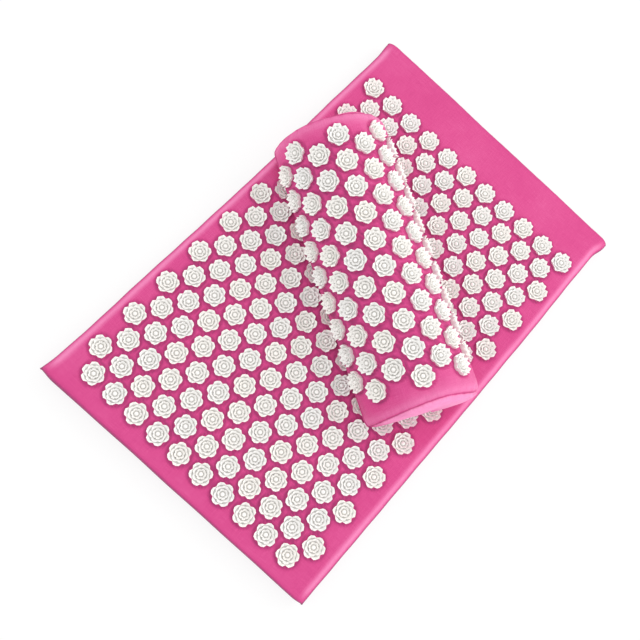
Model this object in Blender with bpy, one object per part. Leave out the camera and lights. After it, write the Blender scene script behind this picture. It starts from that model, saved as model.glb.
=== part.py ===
"""Acupressure mat with its half-moon pillow: cotton covers set with plastic rosettes, over foam.

Metres, +Z up. The origin is the middle of the mat's underside, +X runs along the mat to its
wide bare band, and the pillow lies slantwise across the mat on the rosettes' points.
"""

import math

import bmesh
import bpy
from mathutils import Matrix, Vector
from mathutils.geometry import delaunay_2d_cdt

# Cloth and gaps
CLOTH = 0.0008
CLEARANCE = 0.0003
OVERRUN = 0.002
SAME_POINT = 0.0000003

# Rosettes
LOBES = 6
ROSETTE_RADIUS = 0.0148
ROSETTE_NOTCH_RADIUS = 0.0126
ROSETTE_FOOT_RADIUS = 0.0125
ROSETTE_VALLEY_RADIUS = 0.0068
ROSETTE_HEIGHT = 0.0045
ROSETTE_SADDLE_HEIGHT = 0.0028
ROSETTE_VALLEY_HEIGHT = 0.0010
TURN_STEP = math.radians(137.5)

# Mat
MAT_LENGTH = 0.653
MAT_WIDTH = 0.420
MAT_THICKNESS = 0.025
MAT_EDGE_RADIUS = 0.0065
MAT_CORNER_RADIUS = 0.006
MAT_EAR = 0.005
MAT_FIRST_ROW = 0.0367
MAT_BARE_BAND = 0.0757
MAT_FIELD_SHIFT = 0.0046
MAT_SIDE_MARGIN = 0.030
MAT_COLUMN_GAP = 0.0062
MAT_NEAREST_GAP = 0.0040
EDGE_STEPS = 3
CORNER_STEPS = 2
EAR_SIDE_SHARE = 0.35

# Pillow
PILLOW_LENGTH = 0.380
PILLOW_RADIUS = 0.078
PILLOW_WALL_ANGLE = math.radians(80)
PILLOW_SEAM_HEIGHT = 0.009
PILLOW_CORNER_RADIUS = 0.002
PILLOW_END_MARGIN = 0.029
PILLOW_ROW_GAP = 0.0055
PILLOW_NEAREST_GAP = 0.0062
PILLOW_FIELD_SHIFT = 0.007
PILLOW_FIELD_TURN = 0.006
PILLOW_DRAW = 0.004
PILLOW_DRAW_SHARES = (0.0, 0.5, 0.85, 1.0)
PILLOW_END_BULGE = 0.007
PILLOW_DOME_SHARES = (0.0, 0.35, 0.65, 0.9)
PILLOW_X = 0.0487
PILLOW_Y = 0.0043
PILLOW_ANGLE = math.radians(61.2)

# Zips
MAT_ZIP_CHAIN = 0.300
PILLOW_ZIP_CHAIN = 0.198
TAPE_THICKNESS = 0.0006
TAPE_TAIL = 0.007
TOOTH_PITCH = 0.006
TOOTH_WIDTH = 0.0022
TOOTH_THICKNESS = 0.0024
TOOTH_REACH = 0.0009
CORD_WIDTH = 0.0009
STOP_LENGTH = 0.0025
STOP_WALL = 0.0007
SLIDER_LENGTH = 0.0130
SLIDER_WIDTH = 0.0074
SLIDER_TAIL_WIDTH = 0.0066
SLIDER_PLATE = 0.0010
SLIDER_FLANGE = 0.0009
DIVIDER_LENGTH = 0.0040
DIVIDER_WIDTH = 0.0020
BAIL_LENGTH = 0.0060
BAIL_WIDTH = 0.0024
BAIL_BAR = 0.0008
PULL_THICKNESS = 0.0010
PULL_LENGTH = 0.0240
PULL_WIDTH = 0.0060
PULL_TIP_WIDTH = 0.0046
PULL_RIM = 0.0012
PULL_PLAY = 0.0009

# Sizes that follow from those above
ROSETTE_SPAN = 2 * ROSETTE_RADIUS
MAT_COLUMN_PITCH = ROSETTE_SPAN + MAT_COLUMN_GAP
MAT_ROW_PITCH = math.sqrt((ROSETTE_SPAN + MAT_NEAREST_GAP) ** 2 - (MAT_COLUMN_PITCH / 2) ** 2)
MAT_ROWS = 1 + int((MAT_LENGTH - MAT_FIRST_ROW - MAT_BARE_BAND) / MAT_ROW_PITCH)
MAT_COLUMNS = 1 + int((MAT_WIDTH - 2 * MAT_SIDE_MARGIN) / MAT_COLUMN_PITCH)
PILLOW_ROW_PITCH = ROSETTE_SPAN + PILLOW_ROW_GAP
PILLOW_COLUMN_PITCH = math.sqrt(
    (ROSETTE_SPAN + PILLOW_NEAREST_GAP) ** 2 - (PILLOW_ROW_PITCH / 2) ** 2
)
PILLOW_ROWS = 1 + int((PILLOW_LENGTH - 2 * PILLOW_END_MARGIN) / PILLOW_ROW_PITCH)
FLAT_WIDTH = 2 * (ROSETTE_FOOT_RADIUS + CLEARANCE)
PILLOW_DRAW_LENGTH = PILLOW_END_MARGIN - PILLOW_FIELD_SHIFT - FLAT_WIDTH / 2
WALL_Y = PILLOW_RADIUS * math.sin(PILLOW_WALL_ANGLE)
WALL_TOP = PILLOW_RADIUS * math.cos(PILLOW_WALL_ANGLE)
ARC_TO_WALL = PILLOW_RADIUS * PILLOW_WALL_ANGLE
ARC_TO_SEAM = ARC_TO_WALL + WALL_TOP - PILLOW_SEAM_HEIGHT
SIDE_COLUMNS = int((ARC_TO_SEAM - FLAT_WIDTH / 2 - PILLOW_FIELD_TURN) / PILLOW_COLUMN_PITCH)
PILLOW_Z = MAT_THICKNESS + ROSETTE_HEIGHT + CLEARANCE
TAPE_DEPTH = CLOTH + CLEARANCE + TAPE_THICKNESS / 2
CORD_EDGE = TOOTH_REACH + CLEARANCE
MAT_SEAM_HEIGHT = MAT_THICKNESS / 2
TAPE_BACKING = min(
    MAT_SEAM_HEIGHT - MAT_EDGE_RADIUS, PILLOW_SEAM_HEIGHT - CLOTH - PILLOW_CORNER_RADIUS
)
TAPE_WIDTH = TAPE_BACKING - CORD_EDGE - CLEARANCE
SLIDER_INSIDE = TOOTH_THICKNESS / 2 + CLEARANCE
SLIDER_HALF = SLIDER_INSIDE + SLIDER_PLATE
ZIP_ROOM = TAPE_DEPTH + SLIDER_HALF + CLEARANCE
SLOT_HALF = SLIDER_WIDTH / 2 + CLEARANCE
HINGE_HEIGHT = SLIDER_HALF + PULL_THICKNESS * math.sqrt(0.5) + CLEARANCE
PULL_HOLE = (BAIL_LENGTH - PULL_THICKNESS) / 2 + PULL_PLAY

PINK_COTTON = (0.80, 0.07, 0.28, 1)
DEEP_PINK_COTTON = (0.62, 0.06, 0.22, 1)
WHITE_PLASTIC = (0.90, 0.89, 0.84, 1)
FOAM = (0.86, 0.84, 0.74, 1)
NICKEL = (0.72, 0.72, 0.70, 1)


def clear_scene():
    for obj in list(bpy.data.objects):
        bpy.data.objects.remove(obj, do_unlink=True)


def material(name, colour, roughness, metallic=0.0):
    """A Principled material with one colour."""
    made = bpy.data.materials.new(name)
    made.use_nodes = True
    shader = made.node_tree.nodes["Principled BSDF"]
    shader.inputs["Base Color"].default_value = colour
    shader.inputs["Roughness"].default_value = roughness
    shader.inputs["Metallic"].default_value = metallic
    made.diffuse_color = colour
    return made


def empty(name, parent=None, location=(0, 0, 0), turn=0.0):
    made = bpy.data.objects.new(name, None)
    bpy.context.scene.collection.objects.link(made)
    made.parent = parent
    made.location = location
    made.rotation_euler.z = turn
    return made


def add_node(name, bm, skins, parent=None, smooth=False):
    """Turns a closed bmesh into a named object with its faces pointing out."""
    bmesh.ops.recalc_face_normals(bm, faces=bm.faces)
    mesh = bpy.data.meshes.new(name)
    bm.to_mesh(mesh)
    bm.free()
    for skin in skins:
        mesh.materials.append(skin)
    if smooth:
        mesh.shade_smooth()
        mesh.set_sharp_from_angle(angle=math.radians(35))
    made = bpy.data.objects.new(name, mesh)
    bpy.context.scene.collection.objects.link(made)
    made.parent = parent
    return made


def add_loop(bm, points):
    return [bm.verts.new(point) for point in points]


def bridge(bm, first, second):
    """Quads between two closed loops with as many points."""
    for index in range(len(first)):
        after = (index + 1) % len(first)
        bm.faces.new((first[index], first[after], second[after], second[index]))


def shell(bm, outer, inner):
    """A dished skin: outer and inner stacks of loops, joined at the first loop and capped at the last."""
    for stack in (outer, inner):
        for first, second in zip(stack, stack[1:]):
            bridge(bm, first, second)
    bridge(bm, outer[0], inner[0])
    bm.faces.new(inner[-1])


def prism(name, profile, start, end, skin, parent=None, axis="X"):
    """A profile pushed along one axis. Its points hold the other two coordinates in X, Y, Z order."""
    slot = "XYZ".index(axis)
    bm = bmesh.new()
    ends = []
    for reach in (start, end):
        ends.append(add_loop(bm, [(*point[:slot], reach, *point[slot:]) for point in profile]))
    bridge(bm, ends[0], ends[1])
    bm.faces.new(ends[0])
    bm.faces.new(ends[1])
    return add_node(name, bm, [skin], parent)


def rectangle(low_a, high_a, low_b, high_b):
    return [(low_a, low_b), (high_a, low_b), (high_a, high_b), (low_a, high_b)]


def combine(obj, other, operation):
    """Applies one exact Boolean to obj and removes the other object."""
    modifier = obj.modifiers.new("combine", "BOOLEAN")
    modifier.operation = operation
    modifier.solver = "EXACT"
    modifier.object = other
    bpy.context.view_layer.update()
    graph = bpy.context.evaluated_depsgraph_get()
    mesh = bpy.data.meshes.new_from_object(obj.evaluated_get(graph))
    obj.modifiers.clear()
    old = obj.data
    obj.data = mesh
    mesh.name = obj.name
    bpy.data.meshes.remove(old)
    bpy.data.objects.remove(other, do_unlink=True)


# Rosettes


def polar(radius, angle):
    return radius * math.cos(angle), radius * math.sin(angle)


def foot_points(turn):
    """The six corners where one rosette stands on the cloth."""
    step = math.tau / LOBES
    return [polar(ROSETTE_FOOT_RADIUS, turn + step * lobe) for lobe in range(LOBES)]


def rosette_turn(count):
    """Each rosette sits at its own angle, as they were set by machine with no fixed turn."""
    return (count * TURN_STEP) % (math.tau / LOBES)


def add_rosette(bm, foot, frame, turn):
    """Raises one rosette on its foot: a flared six-lobed crown of points, a valley and a centre spike."""
    half = math.pi / LOBES
    crown = []
    for step in range(2 * LOBES):
        on_lobe = step % 2 == 0
        radius = ROSETTE_RADIUS if on_lobe else ROSETTE_NOTCH_RADIUS
        height = ROSETTE_HEIGHT if on_lobe else ROSETTE_SADDLE_HEIGHT
        crown.append(bm.verts.new(frame @ Vector((*polar(radius, turn + half * step), height))))
    valley = []
    for lobe in range(LOBES):
        spot = polar(ROSETTE_VALLEY_RADIUS, turn + 2 * half * lobe)
        valley.append(bm.verts.new(frame @ Vector((*spot, ROSETTE_VALLEY_HEIGHT))))
    spike = bm.verts.new(frame @ Vector((0, 0, ROSETTE_HEIGHT)))
    faces = []
    for lobe in range(LOBES):
        after = (lobe + 1) % LOBES
        tip = crown[2 * lobe]
        saddle = crown[2 * lobe + 1]
        next_tip = crown[2 * after]
        for ring in (foot, valley):
            faces.append(bm.faces.new((ring[lobe], tip, saddle)))
            faces.append(bm.faces.new((ring[lobe], saddle, ring[after])))
            faces.append(bm.faces.new((ring[after], saddle, next_tip)))
        faces.append(bm.faces.new((valley[lobe], valley[after], spike)))
    for face in faces:
        face.material_index = 1


def studded_cloth(bm, outline, creases, seats, place):
    """Fills the outline with cloth round the rosettes' feet, folds it by place() and raises the rosettes.

    outline holds flat points, creases pairs of outline indices, seats (spot, frame, turn).
    Returns the outline's vertices.
    """
    flat = [Vector(point) for point in outline]
    faces = [list(range(len(flat)))]
    for spot, _, turn in seats:
        faces.append(list(range(len(flat), len(flat) + LOBES)))
        flat += [Vector(spot) + Vector(corner) for corner in foot_points(turn)]
    inside_outline = 1
    points, _, triangles, sources, _, owners = delaunay_2d_cdt(
        flat, creases, faces, inside_outline, SAME_POINT, True
    )
    made = [bm.verts.new(place(point)) for point in points]
    vertex_of = {}
    for vertex, merged in zip(made, sources):
        for source in merged:
            vertex_of[source] = vertex
    for triangle, inside in zip(triangles, owners):
        if inside == [0]:
            bm.faces.new([made[corner] for corner in triangle])
    for count, (_, frame, turn) in enumerate(seats):
        first = len(outline) + count * LOBES
        foot = [vertex_of[first + lobe] for lobe in range(LOBES)]
        add_rosette(bm, foot, frame, turn)
    for vertex in [vertex for vertex in made if not vertex.link_faces]:
        bm.verts.remove(vertex)
    return [vertex_of[index] for index in range(len(outline))]


# Mat


def mat_loop(inset, height, ear=0.0):
    """The mat's outline drawn in by inset: straight edges, small corners, and an ear at each corner."""
    points = []
    for quarter in range(4):
        side_x = 1 if quarter in (0, 3) else -1
        side_y = 1 if quarter in (0, 1) else -1
        centre_x = side_x * (MAT_LENGTH / 2 - inset - MAT_CORNER_RADIUS)
        centre_y = side_y * (MAT_WIDTH / 2 - inset - MAT_CORNER_RADIUS)
        for step in range(CORNER_STEPS + 1):
            angle = math.pi / 2 * (quarter + step / CORNER_STEPS)
            reach = MAT_CORNER_RADIUS + ear * math.sin(math.pi * step / CORNER_STEPS)
            points.append(
                (centre_x + reach * math.cos(angle), centre_y + reach * math.sin(angle), height)
            )
    return points


def turned_edge(skin, seam, top, ear):
    """Loops of the mat's outline from the seam up the side and over the rounded edge to the top.

    skin is how far the surface lies inside the cover's outside.
    """
    radius = MAT_EDGE_RADIUS - skin
    loops = [mat_loop(skin, seam, ear)]
    for step in range(EDGE_STEPS + 1):
        angle = math.pi / 2 * step / EDGE_STEPS
        inset = skin + radius * (1 - math.cos(angle))
        height = top - skin - radius * (1 - math.sin(angle))
        loops.append(mat_loop(inset, height, ear * EAR_SIDE_SHARE * math.cos(angle)))
    return loops


def mat_seats():
    """Places the staggered rows: even rows hold one rosette fewer and sit half a pitch over."""
    seats = []
    first_x = -MAT_LENGTH / 2 + MAT_FIRST_ROW
    for row in range(MAT_ROWS):
        count = MAT_COLUMNS - 1 + row % 2
        for column in range(count):
            y = (column - (count - 1) / 2) * MAT_COLUMN_PITCH + MAT_FIELD_SHIFT
            spot = (first_x + row * MAT_ROW_PITCH, y)
            frame = Matrix.Translation((*spot, MAT_THICKNESS))
            seats.append((spot, frame, rosette_turn(len(seats))))
    return seats


def cut_zip_slot(obj, length, height_low, height_high, frame):
    """Opens a slot in a wall whose outside lies on the frame's XZ plane."""
    profile = rectangle(-ZIP_ROOM, OVERRUN, height_low, height_high)
    cutter = prism("slot_cutter", profile, -length / 2, length / 2, obj.data.materials[0])
    cutter.hide_render = True
    cutter.display_type = "WIRE"
    cutter.matrix_world = frame
    combine(obj, cutter, "DIFFERENCE")


def slot_length(chain):
    return chain + 2 * (SLIDER_LENGTH + STOP_LENGTH)


def mat_zip_frame():
    return Matrix.Translation((MAT_LENGTH / 2, 0, MAT_SEAM_HEIGHT)) @ Matrix.Rotation(
        -math.pi / 2, 4, "Z"
    )


def make_mat_top_panel(cloth, plastic):
    bm = bmesh.new()
    rows = turned_edge(0.0, MAT_SEAM_HEIGHT + CLEARANCE / 2, MAT_THICKNESS, MAT_EAR)
    inner_rows = turned_edge(CLOTH, MAT_SEAM_HEIGHT + CLEARANCE / 2, MAT_THICKNESS, MAT_EAR)
    rim = [point[:2] for point in rows[-1]]
    top = studded_cloth(
        bm, rim, [], mat_seats(), lambda point: (point.x, point.y, MAT_THICKNESS)
    )
    outer = [add_loop(bm, row) for row in rows[:-1]] + [top]
    inner = [add_loop(bm, row) for row in inner_rows]
    shell(bm, outer, inner)
    panel = add_node("mat_top_panel", bm, [cloth, plastic])
    cut_zip_slot(panel, slot_length(MAT_ZIP_CHAIN), -SLOT_HALF, SLOT_HALF, mat_zip_frame())


def make_mat_back_panel(cloth):
    bm = bmesh.new()
    seam = MAT_SEAM_HEIGHT - CLEARANCE / 2
    stacks = []
    for skin in (0.0, CLOTH):
        mirrored = turned_edge(skin, MAT_THICKNESS - seam, MAT_THICKNESS, MAT_EAR)
        stacks.append(
            [add_loop(bm, [(x, y, MAT_THICKNESS - z) for x, y, z in row]) for row in mirrored]
        )
    shell(bm, stacks[0], stacks[1])
    bm.faces.new(stacks[0][-1])
    panel = add_node("mat_back_panel", bm, [cloth])
    cut_zip_slot(panel, slot_length(MAT_ZIP_CHAIN), -SLOT_HALF, SLOT_HALF, mat_zip_frame())


def make_mat_foam(foam):
    """One slab with rounded edges, cut short at the far end to leave room for the zip."""
    skin = CLOTH + CLEARANCE
    low_x = -MAT_LENGTH / 2 + skin
    high_x = MAT_LENGTH / 2 - ZIP_ROOM
    size = Vector((high_x - low_x, MAT_WIDTH - 2 * skin, MAT_THICKNESS - 2 * skin))
    middle = Vector(((low_x + high_x) / 2, 0, MAT_THICKNESS / 2))
    bm = bmesh.new()
    bmesh.ops.create_cube(bm, size=1, matrix=Matrix.Translation(middle) @ Matrix.Diagonal((*size, 1)))
    bmesh.ops.bevel(
        bm, geom=bm.edges[:], offset=MAT_EDGE_RADIUS, segments=EDGE_STEPS, affect="EDGES", profile=0.5
    )
    add_node("mat_foam_core", bm, [foam], smooth=True)


# Pillow


def on_arc(arc):
    """(y, z) of the pillow's half-moon section at a distance round from the crown: arc, then upright wall."""
    side = math.copysign(1, arc)
    beyond = abs(arc) - ARC_TO_WALL
    if beyond > 0:
        return side * WALL_Y, WALL_TOP - beyond
    angle = arc / PILLOW_RADIUS
    return PILLOW_RADIUS * math.sin(angle), PILLOW_RADIUS * math.cos(angle)


def column_middles():
    return [
        column * PILLOW_COLUMN_PITCH + PILLOW_FIELD_TURN
        for column in range(-SIDE_COLUMNS, SIDE_COLUMNS + 1)
    ]


def section_corners():
    """Corners of the cover's section between its seams: a flat under each column, bends between them."""
    arcs = [-ARC_TO_SEAM, ARC_TO_SEAM]
    for middle in column_middles():
        arcs += [middle - FLAT_WIDTH / 2, middle + FLAT_WIDTH / 2]
    arcs.sort()
    for wall in (-ARC_TO_WALL, ARC_TO_WALL):
        if wall < arcs[1] or wall > arcs[-2]:
            arcs.append(wall)
    return [on_arc(arc) for arc in sorted(arcs)]


def offset_line(corners, inset):
    """The open line of section corners drawn in by inset, mitred at each bend."""
    made = []
    last = len(corners) - 1
    for index, corner in enumerate(corners):
        before = Vector(corner) - Vector(corners[index - 1]) if index else None
        after = Vector(corners[index + 1]) - Vector(corner) if index < last else None
        normals = [Vector((line.y, -line.x)).normalized() for line in (before, after) if line]
        mitre = sum(normals, Vector((0, 0))).normalized()
        reach = inset / mitre.dot(normals[0])
        made.append((corner[0] + mitre.x * reach, corner[1] + mitre.y * reach))
    return made


def draw_in(along, across, height):
    """Where a cover point comes to lie: towards each end the section is drawn in to the end seam."""
    into = max(0.0, abs(along) - PILLOW_LENGTH / 2 + PILLOW_DRAW_LENGTH) / PILLOW_DRAW_LENGTH
    fall = 1 - math.sqrt(max(0.0, 1 - min(into, 1.0) ** 2))
    share = 1 - fall * PILLOW_DRAW / PILLOW_RADIUS
    lift = height - PILLOW_SEAM_HEIGHT
    if lift < 0:
        return along, across * share, height
    return along, across * share, PILLOW_SEAM_HEIGHT + lift * share


def draw_lines():
    """Distances along the pillow where its cover bends: the ends and the start of the drawn-in length."""
    reach = [PILLOW_LENGTH / 2 - PILLOW_DRAW_LENGTH * (1 - share) for share in PILLOW_DRAW_SHARES]
    return [-line for line in reversed(reach)] + reach


def make_pillow_top_panel(cloth, plastic, place):
    """The studded panel: laid out flat with its bends, filled round the feet, then folded over the core."""
    corners = section_corners()
    inner_corners = offset_line(corners, CLOTH)
    steps = [(Vector(b) - Vector(a)).length for a, b in zip(corners, corners[1:])]
    across = [sum(steps[:index]) for index in range(len(corners))]
    along = draw_lines()
    last_across = len(across) - 1
    last_along = len(along) - 1

    def place_on_section(point):
        segment = max(i for i in range(last_across) if across[i] <= point.y + SAME_POINT)
        share = (point.y - across[segment]) / steps[segment]
        spot = Vector(corners[segment]).lerp(Vector(corners[segment + 1]), share)
        return draw_in(point.x, spot.x, spot.y)

    grid = [(i, 0) for i in range(last_along)]
    grid += [(last_along, j) for j in range(last_across)]
    grid += [(i, last_across) for i in range(last_along, 0, -1)]
    grid += [(0, j) for j in range(last_across, 0, -1)]
    spot_of = {spot: index for index, spot in enumerate(grid)}
    creases = [(spot_of[(i, 0)], spot_of[(i, last_across)]) for i in range(1, last_along)]
    creases += [(spot_of[(0, j)], spot_of[(last_along, j)]) for j in range(1, last_across)]

    seats = []
    for column, middle in enumerate(column_middles()):
        from_crown = abs(column - SIDE_COLUMNS)
        count = PILLOW_ROWS - from_crown % 2
        edges = [on_arc(middle - FLAT_WIDTH / 2), on_arc(middle + FLAT_WIDTH / 2)]
        segment = min(
            range(last_across), key=lambda i: (Vector(corners[i]) - Vector(edges[0])).length
        )
        chord = (Vector(edges[1]) - Vector(edges[0])).normalized()
        centre = (Vector(edges[0]) + Vector(edges[1])) / 2
        for row in range(count):
            x = (row - (count - 1) / 2) * PILLOW_ROW_PITCH + PILLOW_FIELD_SHIFT
            frame = Matrix.Translation((x, centre.x, centre.y)) @ Matrix(
                ((1, 0, 0, 0), (0, chord.x, -chord.y, 0), (0, chord.y, chord.x, 0), (0, 0, 0, 1))
            )
            seats.append(((x, across[segment] + steps[segment] / 2), frame, rosette_turn(len(seats))))

    bm = bmesh.new()
    outline = [(along[i], across[j]) for i, j in grid]
    rim = studded_cloth(bm, outline, creases, seats, place_on_section)
    inner = {
        (i, j): bm.verts.new(draw_in(along[i], *inner_corners[j]))
        for i in range(len(along))
        for j in range(len(across))
    }
    for i in range(last_along):
        for j in range(last_across):
            bm.faces.new((inner[i, j], inner[i + 1, j], inner[i + 1, j + 1], inner[i, j + 1]))
    bridge(bm, rim, [inner[spot] for spot in grid])
    panel = add_node("pillow_top_panel", bm, [cloth, plastic])
    cut_zip_slot(panel, slot_length(PILLOW_ZIP_CHAIN), -SLOT_HALF, SLOT_HALF, pillow_zip_frame())
    panel.parent = place


def half_moon(inset, zip_room=0.0):
    """The closed section of the whole pillow drawn in by inset: wall, crown, wall and flat base."""
    upper = offset_line(section_corners(), inset)
    upper = [(max(y, -(WALL_Y - inset - zip_room)), z) for y, z in upper]
    foot = PILLOW_CORNER_RADIUS
    left, right = upper[0][0], upper[-1][0]
    low = [(right, inset + foot), (right - foot, inset), (left + foot, inset), (left, inset + foot)]
    return upper + low


def pillow_ring(along, inset, scale=1.0, zip_room=0.0):
    """A loop of the half-moon section at one place along the pillow, drawn in towards the ends."""
    middle = PILLOW_RADIUS / 2
    points = []
    for y, z in half_moon(inset, zip_room):
        near_end = max(-PILLOW_LENGTH / 2, min(PILLOW_LENGTH / 2, along))
        _, y_drawn, z_drawn = draw_in(near_end, y, z)
        points.append((along, y_drawn * scale, middle + (z_drawn - middle) * scale))
    return points


def dome_rings(side, inset, start, zip_room=0.0):
    """Loops that close one end of the pillow with a shallow bulge, from start to the middle."""
    rings = []
    for share in PILLOW_DOME_SHARES:
        bulge = (PILLOW_END_BULGE - inset) * math.sin(math.pi / 2 * share)
        scale = math.sqrt(1 - share**2)
        rings.append(pillow_ring(side * (start + bulge), inset, scale, zip_room))
    return rings


def make_pillow_end(name, side, cloth, place):
    bm = bmesh.new()
    start = PILLOW_LENGTH / 2 + CLEARANCE
    outer = [add_loop(bm, ring) for ring in dome_rings(side, 0.0, start)]
    inner = [add_loop(bm, ring) for ring in dome_rings(side, CLOTH, start)]
    shell(bm, outer, inner)
    bm.faces.new(outer[-1])
    add_node(name, bm, [cloth], place)


def make_pillow_base(cloth, place):
    """The base: a flat panel turned up at its long edges to the side seams."""
    seam = PILLOW_SEAM_HEIGHT - CLEARANCE
    foot = PILLOW_CORNER_RADIUS
    sides = []
    for inset in (0.0, CLOTH):
        wall = WALL_Y - inset
        sides.append([(wall, seam), (wall, inset + foot), (wall - foot, inset)])
    outer, inner = sides
    profile = outer + [(-y, z) for y, z in reversed(outer)]
    profile += [(-y, z) for y, z in inner] + list(reversed(inner))
    bm = bmesh.new()
    loops = []
    for along in draw_lines():
        loops.append(add_loop(bm, [draw_in(along, y, z) for y, z in profile]))
    for first, second in zip(loops, loops[1:]):
        bridge(bm, first, second)
    bm.faces.new(loops[0])
    bm.faces.new(loops[-1])
    panel = add_node("pillow_base_panel", bm, [cloth])
    cut_zip_slot(panel, slot_length(PILLOW_ZIP_CHAIN), -SLOT_HALF, SLOT_HALF, pillow_zip_frame())
    panel.parent = place


def make_pillow_core(foam, place):
    """The half-moon foam: crowned, drawn in at both ends and set back behind the zip."""
    inset = CLOTH + CLEARANCE
    room = ZIP_ROOM - inset
    start = PILLOW_LENGTH / 2
    rings = list(reversed(dome_rings(-1, inset, start, room)))
    rings += [pillow_ring(along, inset, zip_room=room) for along in draw_lines()[1:-1]]
    rings += dome_rings(1, inset, start, room)
    bm = bmesh.new()
    loops = [add_loop(bm, ring) for ring in rings]
    for first, second in zip(loops, loops[1:]):
        bridge(bm, first, second)
    bm.faces.new(loops[0])
    bm.faces.new(loops[-1])
    add_node("pillow_core", bm, [foam], place, smooth=True)


def pillow_zip_frame():
    return Matrix.Translation((0, -WALL_Y, PILLOW_SEAM_HEIGHT)) @ Matrix.Rotation(math.pi, 4, "Z")


# Zips


def tooth_row(side, chain):
    """The comb of one row of teeth: a cord along the tape's edge with teeth that reach past the middle.

    side is 1 for the upper row and -1 for the lower one, which stands half a pitch along.
    """
    outer = side * (CORD_EDGE + CORD_WIDTH)
    cord = side * CORD_EDGE
    tip = -side * TOOTH_REACH
    start = -chain / 2
    count = int(chain / TOOTH_PITCH)
    profile = [(start, outer), (start, cord)]
    for tooth in range(count):
        left = start + tooth * TOOTH_PITCH + (TOOTH_PITCH / 2 if side < 0 else 0.0)
        left += CLEARANCE
        right = left + TOOTH_WIDTH
        profile += [(left, cord), (left, tip), (right, tip), (right, cord)]
    profile += [(chain / 2, cord), (chain / 2, outer)]
    return profile


def make_tape(name, side, chain, tape, teeth, place):
    """One tape with its moulded teeth, which grip the tape's edge for good."""
    thin = TAPE_THICKNESS / 2
    thick = TOOTH_THICKNESS / 2
    far = slot_length(chain) / 2 + TAPE_TAIL
    near_edge = side * (CORD_EDGE + CORD_WIDTH / 2)
    far_edge = side * (CORD_EDGE + TAPE_WIDTH)
    low, high = sorted((near_edge, far_edge))
    made = prism(name, rectangle(-thin, thin, low, high), -far, far, tape)
    comb = prism("comb", tooth_row(side, chain), -thick, thick, teeth, axis="Y")
    combine(made, comb, "UNION")
    made.parent = place


def rest_place(chain):
    """Where the slider's middle rests on the closed zip, its divider just past the last teeth."""
    return chain / 2 + CLEARANCE + DIVIDER_LENGTH / 2 - divider_middle()


def divider_middle():
    return SLIDER_LENGTH / 2 - SLIDER_PLATE - DIVIDER_LENGTH / 2


def make_slider(name, chain, metal, place):
    """Two plates joined by the divider, with flanges over the cords and a bail for the pull."""
    half = SLIDER_LENGTH / 2
    wide = SLIDER_WIDTH / 2
    tail = SLIDER_TAIL_WIDTH / 2
    outline = [(-half, -tail), (0, -tail), (half, -wide), (half, wide), (0, tail), (-half, tail)]
    body = prism(name, outline, SLIDER_INSIDE, SLIDER_HALF, metal, axis="Y")
    inner_plate = prism("inner_plate", outline, -SLIDER_HALF, -SLIDER_INSIDE, metal, axis="Y")
    depth = SLIDER_INSIDE + SLIDER_PLATE / 2
    middle = divider_middle()
    reach = DIVIDER_LENGTH / 2
    thick = DIVIDER_WIDTH / 2
    wedge = [(middle - reach, 0), (middle, -thick), (middle + reach, -thick)]
    wedge += [(middle + reach, thick), (middle, thick)]
    combine(body, prism("divider", wedge, -depth, depth, metal, axis="Y"), "UNION")
    combine(body, inner_plate, "UNION")
    slit = TAPE_THICKNESS / 2 + CLEARANCE
    for side in (-1, 1):
        rim = [(-half, side * tail), (0, side * tail), (half, side * wide)]
        rim += [(x, y - side * SLIDER_FLANGE) for x, y in reversed(rim)]
        for low, high in ((slit, depth), (-depth, -slit)):
            combine(body, prism("flange", rim, low, high, metal, axis="Y"), "UNION")
    arm = BAIL_LENGTH / 2
    leg = arm - BAIL_BAR
    crest = HINGE_HEIGHT + PULL_THICKNESS * math.sqrt(0.5) + CLEARANCE
    arch = [(-arm, depth), (-arm, crest), (-leg, crest + BAIL_BAR), (leg, crest + BAIL_BAR)]
    arch += [(arm, crest), (arm, depth), (leg, depth), (leg, crest), (-leg, crest), (-leg, depth)]
    bail = prism("bail", arch, -BAIL_WIDTH / 2, BAIL_WIDTH / 2, metal, axis="Z")
    combine(body, bail, "UNION")
    body.parent = place
    body.location = (rest_place(chain), 0, 0)
    return body


def make_pull(name, metal, slider):
    """The pull tab: its crossbar turns under the bail, its tab tapers away along the closed chain."""
    bar = PULL_THICKNESS / 2
    wide = PULL_WIDTH / 2
    tip = PULL_TIP_WIDTH / 2
    end = bar - PULL_LENGTH
    outline = [(bar, -wide), (bar, wide), (end + tip, tip), (end, tip / 2)]
    outline += [(end, -tip / 2), (end + tip, -tip)]
    made = prism(name, outline, -bar, bar, metal, axis="Y")
    hole_half = wide - PULL_RIM
    hole = rectangle(-bar - PULL_HOLE, -bar, -hole_half, hole_half)
    cutter = prism("hole_cutter", hole, -bar - OVERRUN, bar + OVERRUN, metal, axis="Y")
    cutter.hide_render = True
    cutter.display_type = "WIRE"
    combine(made, cutter, "DIFFERENCE")
    made.parent = slider
    made.location = (0, HINGE_HEIGHT, 0)


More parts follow.
